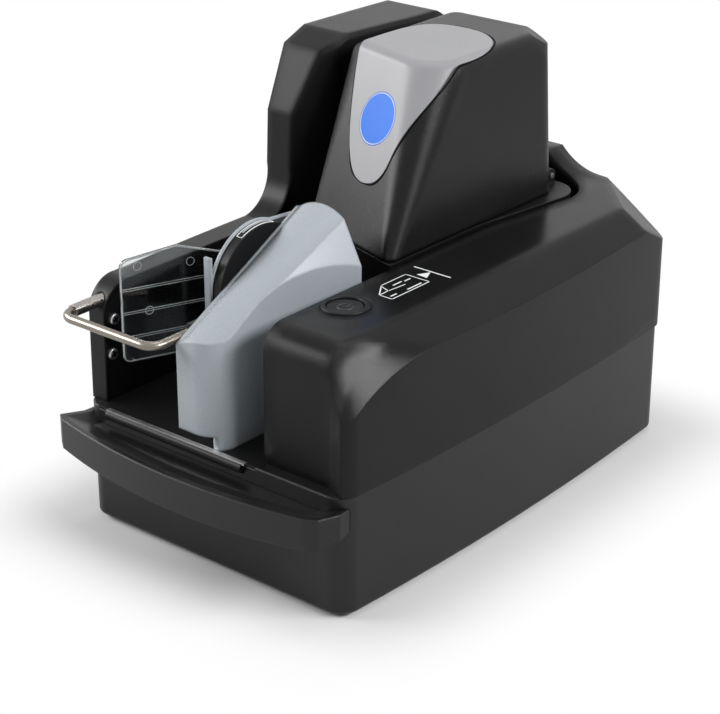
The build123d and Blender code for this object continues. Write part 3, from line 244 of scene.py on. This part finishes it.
BLACK = (0.0052, 0.0053, 0.0056)
DARK = (0.0045, 0.0045, 0.0048)
MATERIALS = {
    "casing_black": casing("casing_black", BLACK, 0.30, 0.42, 1.6),
    "base_black": casing("base_black", BLACK, 0.30, 0.38, 1.8, specular=0.36),
    "housing_black": casing("housing_black", BLACK, 0.30, 0.38, 1.6, [(6.0, "Z", 155.0, 125.0)]),
    "cover_black": casing("cover_black", BLACK, 0.20, 0.36, 1.2,
                          [(9.0, "X", 75.0, 80.0), (9.0, "Y", 118.0, 95.0)]),
    "tower_black": casing("tower_black", BLACK, 0.26, 0.27, 2.5, [(11.0, "Z", 200.0, 135.0)],
                          specular=0.20),
    "floor_black": moulded("floor_black", (0.006, 0.006, 0.0065), 0.4, grain=0.15, edge=0.4,
                           specular=0.2),
    "trim_black": moulded("trim_black", DARK, 0.36, grain=0.1, edge=0.7, specular=0.2),
    "divider_grey": moulded("divider_grey", (0.33, 0.36, 0.387), 0.25, grain=0.04, edge=1.8,
                            mottling=0.015),
    "inlay_grey": moulded("inlay_grey", (0.27, 0.27, 0.283), 0.36, grain=0.08, edge=0.3,
                          mottling=0.02),
    "badge_blue": moulded("badge_blue", (0.028, 0.165, 0.68), 0.3, grain=0.04, edge=0.3,
                          mottling=0.03, specular=0.1),
    "clear_plastic": clear("clear_plastic", (0.93, 0.95, 0.96), 0.03),
    "camera_glass": clear("camera_glass", (0.8, 0.88, 0.88), 0.02),
    "wire_nickel": metal("wire_nickel", (0.25, 0.226, 0.195), 0.24, scratch=0.02, lines_scale=90.0),
    "sleeve_metal": metal("sleeve_metal", (0.36, 0.34, 0.32), 0.3, edge=0.3),
    "bright_steel": metal("bright_steel", (0.9, 0.89, 0.87), 0.3, stretch=(0.05, 1, 1)),
    "steel": metal("steel", (0.5, 0.5, 0.5), 0.32, edge=0.2),
    "rubber": moulded("rubber", (0.012, 0.012, 0.012), 0.75, grain=0.4),
    "roller_rubber": moulded("roller_rubber", (0.03, 0.03, 0.032), 0.8, grain=0.4),
    "belt_rubber": moulded("belt_rubber", (0.01, 0.01, 0.01), 0.7, grain=0.4),
    "pulley_plastic": moulded("pulley_plastic", (0.62, 0.61, 0.56), 0.45, edge=0.3),
    "pinch_plastic": moulded("pinch_plastic", (0.12, 0.12, 0.12), 0.45, edge=0.3),
    "motor_metal": metal("motor_metal", (0.45, 0.45, 0.46), 0.38),
    "head_metal": metal("head_metal", (0.5, 0.49, 0.44), 0.3),
    "board": moulded("board", (0.012, 0.10, 0.045), 0.35, mottling=0.25),
    "connector_black": moulded("connector_black", (0.008, 0.008, 0.008), 0.4, edge=0.3),
    "connector_metal": metal("connector_metal", (0.6, 0.6, 0.6), 0.3, edge=0.2),
    "cartridge_plastic": moulded("cartridge_plastic", (0.012, 0.012, 0.015), 0.4, edge=0.6),
}
PRINT_WHITE = moulded("print_white", (0.78, 0.79, 0.79), 0.5, grain=0.05, edge=0.0, mottling=0.03)
PRINT_GREY = moulded("print_grey", (0.30, 0.31, 0.32), 0.5, grain=0.05, edge=0.0, mottling=0.03)
# Painted shade: near-black matte colour standing in for the shade inside the inlay's gap and the
# screw heads' recesses.
SEAM_SHADE = moulded("seam_shade", (0.002, 0.002, 0.002), 0.7, grain=0.05, edge=0.0, specular=0.05)
# Painted highlight: opaque pale grey standing in for the light that the clear flag's rim, rib edges
# and marks catch.
CLEAR_EDGE_HIGHLIGHT = moulded("clear_edge_highlight", (0.30, 0.315, 0.32), 0.25, grain=0.05, edge=0.0, specular=0.5)
MOULDED_MARK = moulded("moulded_mark", (0.035, 0.035, 0.037), 0.3, grain=0.05, edge=0.0,
                       specular=0.4)
DRESSES = {
    "main_cover": "cover_black",
    "base_casing": "base_black",
    "front_lip": "base_black",
    "inner_tower_cover": "tower_black",
    "left_housing": "housing_black",
}


def dress_nodes():
    for part in frame["record"]["subparts"]:
        mesh = NODES[part["node"]].data
        mesh.materials.clear()
        mesh.materials.append(MATERIALS[DRESSES.get(part["node"], part["material_slot"])])


# ---------------------------------------------------------------- pieces
def add_piece(name, data, material, body):
    data.materials.append(material)
    piece = bpy.data.objects.new(name, data)
    bpy.context.scene.collection.objects.link(piece)
    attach(piece, body)
    return piece


def wire(name, runs, radius, material, body, closed=False):
    """Round wires along runs of points in metres; the radius is in millimetres."""
    curve = bpy.data.curves.new(name, "CURVE")
    curve.dimensions = "3D"
    curve.bevel_depth = radius * MM
    curve.bevel_resolution = 3
    curve.use_fill_caps = True
    for points in runs:
        spline = curve.splines.new("POLY")
        spline.points.add(len(points) - 1)
        for target, point in zip(spline.points, points):
            target.co = (*point, 1.0)
        spline.use_cyclic_u = closed
    return add_piece(name, curve, material, body)


def ribbons(name, lines, width, normal, material, body, lift=0.06):
    """Printed lines: flat ribbons along lines of points in metres, just above a surface."""
    vertices = []
    faces = []
    for points in lines:
        for start, end in zip(points, points[1:]):
            along = (end - start).normalized() * width * MM / 2
            side = normal.cross(along)
            first = len(vertices)
            rise = normal * lift * MM
            vertices += [start - along - side + rise, end + along - side + rise,
                         end + along + side + rise, start - along + side + rise]
            faces.append((first, first + 1, first + 2, first + 3))
    mesh = bpy.data.meshes.new(name)
    mesh.from_pydata(vertices, [], faces)
    return add_piece(name, mesh, material, body)


def surface_of(node):
    mesh = NODES[node].data
    corners = [vertex.co.copy() for vertex in mesh.vertices]
    return BVHTree.FromPolygons(corners, [tuple(face.vertices) for face in mesh.polygons])


def dropped(tree, point, direction, lift=0.0):
    """Where a line through a point meets a surface, raised by a lift in millimetres."""
    direction = direction.normalized()
    hit = tree.ray_cast(point - direction * 0.1, direction)
    return hit[0] - direction * lift * MM


def smooth_loop(points, steps=8):
    """A smooth closed line through the points, as a Catmull-Rom curve."""
    count = len(points)
    loop = []
    for i in range(count):
        a, b, c, d = (Vector(points[(i + k) % count]) for k in (-1, 0, 1, 2))
        for step in range(steps):
            t = step / steps
            loop.append(0.5 * (2 * b + (c - a) * t + (2 * a - 5 * b + 4 * c - d) * t ** 2
                               + (3 * b - a - 3 * c + d) * t ** 3))
    return loop


def grown_loop(loop, amount):
    """The same closed plan line moved outwards; the line runs clockwise."""
    count = len(loop)
    result = []
    for i, point in enumerate(loop):
        along = (loop[(i + 1) % count] - loop[i - 1]).normalized()
        result.append(point + Vector((-along.y, along.x)) * amount)
    return result


# ---------------------------------------------------------------- inner tower
INLAY_ORIGIN = Vector((0.0, 20.0, 190.0))
INLAY_UP = Vector((0.0, math.sqrt(0.5), math.sqrt(0.5)))
INLAY_NORMAL = Vector((0.0, -math.sqrt(0.5), math.sqrt(0.5)))
INLAY_OUTLINE = [
    (-3.7, -40.0), (-16.5, -36.5), (-24.0, -27.0), (-31.8, -6.7), (-36.8, 15.0), (-38.0, 42.0),
    (-33.0, 57.0), (-16.0, 62.5), (5.0, 59.0), (17.5, 48.0), (20.0, 26.0), (17.5, 6.0),
    (8.0, -24.0), (3.5, -36.0),
]
SEAM_RADIUS = 0.42
SEAM_OUTSIDE = 0.45
SEAM_SINK = 0.06


def make_inlay_seam():
    """Painted shade of the gap round the light inlay: a near-black matte tube along it."""
    tree = surface_of("inner_tower_cover")
    points = []
    for flat in grown_loop(smooth_loop(INLAY_OUTLINE), SEAM_OUTSIDE):
        place = INLAY_ORIGIN + Vector((flat.x, 0, 0)) + INLAY_UP * flat.y
        points.append(dropped(tree, place * MM, -INLAY_NORMAL, -SEAM_SINK))
    wire("inlay_seam", [points], SEAM_RADIUS, SEAM_SHADE, "inner_tower", closed=True)


BADGE_RING_RADIUS = 12.7
BADGE_RING_STEPS = 72


def make_badge_ring():
    """A thin white ring near the badge's rim."""
    tree = surface_of("tower_badge")
    low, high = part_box("tower_badge")
    mesh = NODES["tower_badge"].data
    normal = Vector((0, 0, 0))
    for face in mesh.polygons:
        if face.normal.y < -0.5:
            normal += face.normal * face.area
    normal.normalize()
    centre = (Vector(low) + Vector(high)) / 2
    level = normal.cross(Vector((0, 0, 1))).normalized()
    steep = normal.cross(level)
    points = []
    for i in range(BADGE_RING_STEPS):
        turn = math.tau * i / BADGE_RING_STEPS
        place = centre + (level * math.cos(turn) + steep * math.sin(turn)) * BADGE_RING_RADIUS * MM
        points.append(dropped(tree, place, -normal, -0.05))
    wire("badge_ring", [points], 0.22, PRINT_WHITE, "inner_tower", closed=True)


# ---------------------------------------------------------------- deck marks
DECK_Z = 129.0
CHEQUE_LEFT_X = 38.8
CHEQUE_RIGHT_X = 53.0
CHEQUE_FRONT_Y = -56.4
CHEQUE_BACK_Y = -28.8
CHEQUE_CUT = 6.6
STOP_BAR_Y = -18.6
PRINT_LINE = 0.62
PRINT_BOLD = 0.9
PRINT_LIFT = 0.06


def on_deck(*points):
    return [Vector((x, y, DECK_Z)) * MM for x, y in points]


def make_pictogram():
    """A generic sign for the feed direction: a cheque, an arrow head and a stop bar."""
    left, right, front, back = CHEQUE_LEFT_X, CHEQUE_RIGHT_X, CHEQUE_FRONT_Y, CHEQUE_BACK_Y
    middle = (left + right) / 2
    cut = CHEQUE_CUT
    up = Vector((0, 0, 1))
    border = on_deck((left, back), (right, back), (right, front), (left + cut, front),
                     (left, front + cut + 3), (left, back))
    fold = on_deck((left + 0.8, front + cut + 2.0), (left + cut, front + cut), (left + cut, front))
    row = on_deck((left + cut, front + cut), (middle + 0.5, back - 10))
    ribbons("pictogram_border", [border, fold, row], PRINT_LINE, up, PRINT_WHITE,
            "machine")
    marks = [
        on_deck((middle - 3.0, front + 13.5), (middle - 3.0, back - 8.5)),
        on_deck((middle - 2.2, back - 6.5), (middle - 2.2, back - 3.0)),
        on_deck((right - 1.9, front + 14.0), (right - 1.9, back - 4.0)),
        on_deck((right - 2.6, front + 2.6), (right - 2.6, front + 6.0)),
    ]
    ribbons("pictogram_marks", marks, PRINT_BOLD, up, PRINT_WHITE, "machine")
    bar = on_deck((left - 2.6, STOP_BAR_Y), (right + 4.2, STOP_BAR_Y))
    ribbons("pictogram_bar", [bar], PRINT_BOLD, up, PRINT_WHITE, "machine")
    head = on_deck((middle - 3.0, back + 3.2), (middle + 3.4, back + 2.8),
                   (middle + 0.4, back + 9.4))
    mesh = bpy.data.meshes.new("pictogram_arrow")
    mesh.from_pydata([point + up * PRINT_LIFT * MM for point in head], [], [(0, 1, 2)])
    add_piece("pictogram_arrow", mesh, PRINT_WHITE, "machine")


POWER_SIGN_RADIUS = 3.6
POWER_SIGN_GAP = math.radians(32)
POWER_SIGN_STEPS = 32
POWER_STROKE_START = 0.4
POWER_STROKE_PAST_RING = 0.9


def make_power_sign():
    """The plain power sign, a broken ring and a stroke, raised on the cap."""
    tree = surface_of("power_button")
    low, high = (Vector(corner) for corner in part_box("power_button"))
    centre = (low + high) / 2
    down = Vector((0, 0, -1))
    away = Vector((0, 1, 0))
    side = Vector((1, 0, 0))
    ring = []
    for i in range(POWER_SIGN_STEPS + 1):
        turn = POWER_SIGN_GAP + (math.tau - 2 * POWER_SIGN_GAP) * i / POWER_SIGN_STEPS
        offset = (away * math.cos(turn) + side * math.sin(turn)) * POWER_SIGN_RADIUS * MM
        ring.append(dropped(tree, Vector((centre.x, centre.y, high.z)) + offset, down))
    stroke = []
    for reach in (POWER_STROKE_START, POWER_SIGN_RADIUS + POWER_STROKE_PAST_RING):
        place = Vector((centre.x, centre.y, high.z)) + away * reach * MM
        stroke.append(dropped(tree, place, down))
    wire("power_sign", [ring, stroke], 0.28, MOULDED_MARK, "button")


# ---------------------------------------------------------------- pocket
FLAG_HINGE = Vector((-30.0, -76.0, 0.0))
FLAG_TURN = math.radians(-90 - 22.9)
FLAG_LENGTH = 55.5
FLAG_BOTTOM_Z = 91.2
FLAG_RIB_HEIGHTS = (103.2, 115.5, 127.2)
FLAG_MARKS = ((46.9, 138.9), (20.4, 136.6), (41.8, 115.8))
FLAG_MARK_RADIUS = 2.0
FLAG_MARK_OFF = 0.8
FLAG_RIB_OFF = -1.25
FLAG_RIB_HALF = 0.5


def on_flag(reach, height, off=0.0):
    """A point of the flag: along it from its hinge, up, and off its middle plane."""
    along = Vector((math.cos(FLAG_TURN), math.sin(FLAG_TURN), 0))
    across = Vector((-along.y, along.x, 0))
    return (FLAG_HINGE + along * reach + across * off + Vector((0, 0, height))) * MM


def make_flag_edge_highlights():
    """Painted highlights of the clear flag: opaque grey lines on its rim, its rib edges and its
    ejector marks.
    """
    rim = [(1.5, FLAG_BOTTOM_Z + 0.5), (52.3, FLAG_BOTTOM_Z + 0.5), (54.3, FLAG_BOTTOM_Z + 1.3),
           (55.0, FLAG_BOTTOM_Z + 3.4), (55.0, 138.4), (54.0, 141.2), (51.4, 142.4), (27.1, 145.2),
           (3.6, 137.9)]
    wire("flag_rim_highlight", [[on_flag(*p) for p in rim]], 0.32, CLEAR_EDGE_HIGHLIGHT, "flag")
    lines = []
    for height in FLAG_RIB_HEIGHTS:
        for edge in (height - FLAG_RIB_HALF, height + FLAG_RIB_HALF):
            lines.append([on_flag(reach, edge, FLAG_RIB_OFF) for reach in (6.5, FLAG_LENGTH - 1.5)])
    wire("flag_rib_edge_highlights", lines, 0.16, CLEAR_EDGE_HIGHLIGHT, "flag")
    rings = []
    for reach, height in FLAG_MARKS:
        turns = [math.tau * i / 20 for i in range(21)]
        rings.append([on_flag(reach + FLAG_MARK_RADIUS * math.cos(turn),
                              height + FLAG_MARK_RADIUS * math.sin(turn), FLAG_MARK_OFF)
                      for turn in turns])
    wire("flag_mark_highlights", rings, 0.14, CLEAR_EDGE_HIGHLIGHT, "flag")


SCREW_PLACES = ((-113.0, 103.5), (-115.0, 86.0))
SCREW_FACE_X = -70.7


def make_screw_recesses():
    """Painted shade of the cross recesses in the pocket wall's screw heads: dark flat ribbons on
    the face.
    """
    lines = []
    for y, z in SCREW_PLACES:
        centre = Vector((SCREW_FACE_X, y, z)) * MM
        for turn in (20, 110):
            arm = Vector((0, math.cos(math.radians(turn)), math.sin(math.radians(turn)))) * 1.5 * MM
            lines.append([centre - arm, centre + arm])
    ribbons("screw_recess_shade", lines, 0.75, Vector((1, 0, 0)), SEAM_SHADE, "machine", lift=0.03)


LABEL_LEFT_X = -20.0
LABEL_RIGHT_X = -16.2
LABEL_FRONT_Y = -82.0
LABEL_BACK_Y = -60.0


def make_guide_label():
    """A generic outlined mark that follows the curved top of the exit guide."""
    tree = surface_of("exit_guide")
    down = Vector((0, 0, -1))
    steps = [LABEL_FRONT_Y + (LABEL_BACK_Y - LABEL_FRONT_Y) * i / 16 for i in range(17)]

    def on_top(x, y):
        return dropped(tree, Vector((x, y, 150.0)) * MM, down, 0.05)

    left, right = LABEL_LEFT_X + 0.5, LABEL_RIGHT_X
    border = [on_top(left, y) for y in steps] + [on_top(right, y) for y in reversed(steps)]
    wire("guide_label_border", [border], 0.22, PRINT_WHITE, "machine", closed=True)
    inner = [on_top((left + right) / 2 - 0.5, y) for y in steps[2:-1]]
    wire("guide_label_stripe", [inner], 0.5, PRINT_GREY, "machine")


# ---------------------------------------------------------------- stage
FLOOR_SIZE = 3.0
FOOTPRINT_HALF = (0.085, 0.135, 0.0)
FLOOR_SHADOW_REACH = 0.004
FLOOR_WHITE_FROM = 0.065


def make_floor():
    """A pale floor that keeps the shadow near the object and looks plain white farther out."""
    mesh = bpy.data.meshes.new("floor")
    corners = [(x * FLOOR_SIZE, y * FLOOR_SIZE, 0) for x, y in ((-1, -1), (1, -1), (1, 1), (-1, 1))]
    mesh.from_pydata(corners, [], [(0, 1, 2, 3)])
    floor = bpy.data.objects.new("floor", mesh)
    bpy.context.scene.collection.objects.link(floor)
    s = Shader("floor")
    s.set("Base Color", rgb(0.70, 0.70, 0.70))
    s.set("Roughness", 0.9)
    s.set("Specular IOR Level", 0.0)
    reach = s.place.outputs["Object"]
    steps = (("ABSOLUTE", None), ("SUBTRACT", FOOTPRINT_HALF), ("MAXIMUM", (0, 0, 0)),
             ("LENGTH", None))
    for operation, value in steps:
        step = s.nodes.new("ShaderNodeVectorMath")
        step.operation = operation
        s.links.new(reach, step.inputs[0])
        if value:
            step.inputs[1].default_value = value
        reach = step.outputs["Value" if operation == "LENGTH" else "Vector"]
    outside = s.spread(reach, 0.0, 1.0, FLOOR_SHADOW_REACH, FLOOR_WHITE_FROM)
    outside.node.interpolation_type = "SMOOTHSTEP"
    seen = s.nodes.new("ShaderNodeMath")
    seen.operation = "MULTIPLY"
    s.links.new(outside, seen.inputs[0])
    s.links.new(s.nodes.new("ShaderNodeLightPath").outputs["Is Camera Ray"], seen.inputs[1])
    white = s.nodes.new("ShaderNodeEmission")
    mix = s.nodes.new("ShaderNodeMixShader")
    s.links.new(seen.outputs["Value"], mix.inputs["Fac"])
    s.links.new(s.main.outputs["BSDF"], mix.inputs[1])
    s.links.new(white.outputs["Emission"], mix.inputs[2])
    s.links.new(mix.outputs["Shader"], s.nodes["Material Output"].inputs["Surface"])
    mesh.materials.append(s.material)


LIGHT_AIM = Vector((0, 0, 0.12))
LIGHT_DISTANCE = 1.25


def softbox(name, azimuth, elevation, size, watts):
    """A soft lamp seen from the object; azimuth 0 is the front and 90 the right."""
    data = bpy.data.lights.new(name, "AREA")
    data.shape = "RECTANGLE"
    data.size, data.size_y = size
    data.energy = watts
    light = bpy.data.objects.new(name, data)
    turn, tilt = math.radians(azimuth), math.radians(elevation)
    away = Vector((math.sin(turn) * math.cos(tilt), -math.cos(turn) * math.cos(tilt),
                   math.sin(tilt)))
    turned = (-away).to_track_quat("-Z", "Y").to_matrix().to_4x4()
    light.matrix_world = Matrix.Translation(LIGHT_AIM + LIGHT_DISTANCE * away) @ turned
    bpy.context.scene.collection.objects.link(light)


WORLD_DIM = 0.36


def make_world():
    """White where the camera, reflections and clear parts see it; dimmer as a light."""
    world = bpy.data.worlds.new("studio")
    bpy.context.scene.world = world
    world.use_nodes = True
    nodes = world.node_tree.nodes
    links = world.node_tree.links
    background = nodes["Background"]
    background.inputs["Color"].default_value = rgb(1, 1, 1)
    path = nodes.new("ShaderNodeLightPath")
    seen = path.outputs["Is Camera Ray"]
    for kind in ("Is Glossy Ray", "Is Transmission Ray"):
        add = nodes.new("ShaderNodeMath")
        add.operation = "ADD"
        add.use_clamp = True
        links.new(seen, add.inputs[0])
        links.new(path.outputs[kind], add.inputs[1])
        seen = add.outputs["Value"]
    strength = nodes.new("ShaderNodeMapRange")
    strength.inputs["To Min"].default_value = WORLD_DIM
    strength.inputs["To Max"].default_value = 1.0
    links.new(seen, strength.inputs["Value"])
    links.new(strength.outputs["Result"], background.inputs["Strength"])


def make_lights():
    softbox("key_left", -62, 24, (1.05, 0.50), 16.0)
    softbox("right", 99, 33, (1.10, 0.26), 16.0)
    softbox("top", 180, 82, (0.60, 0.60), 2.6)


make_camera()
make_floor()
make_world()
make_lights()
dress_nodes()
make_inlay_seam()
make_badge_ring()
make_pictogram()
make_power_sign()
make_flag_edge_highlights()
make_screw_recesses()
make_guide_label()
bpy.context.scene.view_settings.view_transform = "Standard"
